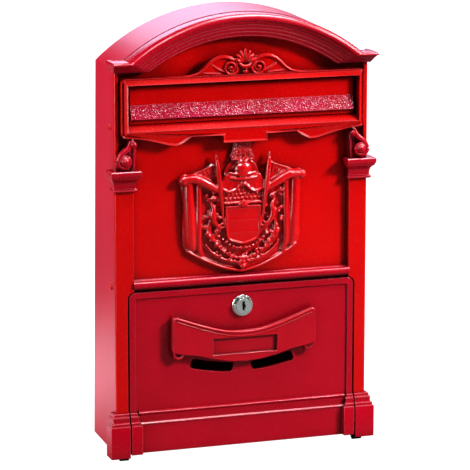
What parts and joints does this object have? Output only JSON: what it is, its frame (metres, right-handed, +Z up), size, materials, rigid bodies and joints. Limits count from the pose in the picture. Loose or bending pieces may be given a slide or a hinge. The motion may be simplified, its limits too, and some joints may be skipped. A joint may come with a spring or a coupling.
{
  "type": "wall mailbox",
  "caption": "Wall mailbox with a moulded cast front, arched roof, letter flap, and a drop-down door with a cam lock, hood and viewing slots.",
  "frame": {"origin": "on the wall plane, at the centre of the four fixing holes", "axes": "+X to the right seen from the front, +Y into the wall, +Z up; the front faces -Y and leans back"},
  "size_m": [0.26, 0.0823, 0.4137],
  "materials": {
    "cast_paint": "semi-gloss red powder coat on cast aluminium",
    "sheet_paint": "semi-gloss red powder coat on sheet steel",
    "bare_steel": "zinc-plated",
    "lock_chrome": "bright",
    "lock_zinc": "zinc-plated",
    "black_plastic": "matt",
    "black_rubber": "matt"
  },
  "bodies": {
    "box": {"box_wrap": "sheet_paint", "back_panel": "sheet_paint", "back_rivets": "bare_steel", "floor_pan": "sheet_paint", "side_screws": "sheet_paint", "front_frame": "cast_paint", "crest_badge": "cast_paint", "crest_clips": "bare_steel", "flap_hinge_rod": "bare_steel", "flap_rod_clips": "bare_steel", "flap_buffers": "black_rubber", "hinge_bush_left": "black_plastic", "hinge_bush_right": "black_plastic", "hinge_pin_left": "bare_steel", "hinge_pin_right": "bare_steel"},
    "door": {"door": "cast_paint", "lock_body": "lock_chrome", "lock_nut": "lock_zinc"},
    "flap": {"letter_flap": "cast_paint"},
    "lock": {"lock_plug": "lock_chrome", "lock_cam": "lock_zinc", "lock_cam_washer": "lock_zinc", "lock_cam_screw": "lock_zinc"}
  },
  "joints": [
    {"name": "door_hinge", "type": "hinge", "parent": "box", "child": "door", "pos_m": [0, -0.07279, -0.16564], "axis": [1, 0, 0], "range_deg": [0, 90]},
    {"name": "flap_hinge", "type": "hinge", "parent": "box", "child": "flap", "pos_m": [0, -0.05732, 0.1729], "axis": [-1, 0, 0], "range_deg": [0, 85]},
    {"name": "lock_turn", "type": "hinge", "parent": "door", "child": "lock", "pos_m": [0, -0.06964, -0.03445], "axis": [0, -0.9989, 0.0468], "range_deg": [0, 90]}
  ]
}
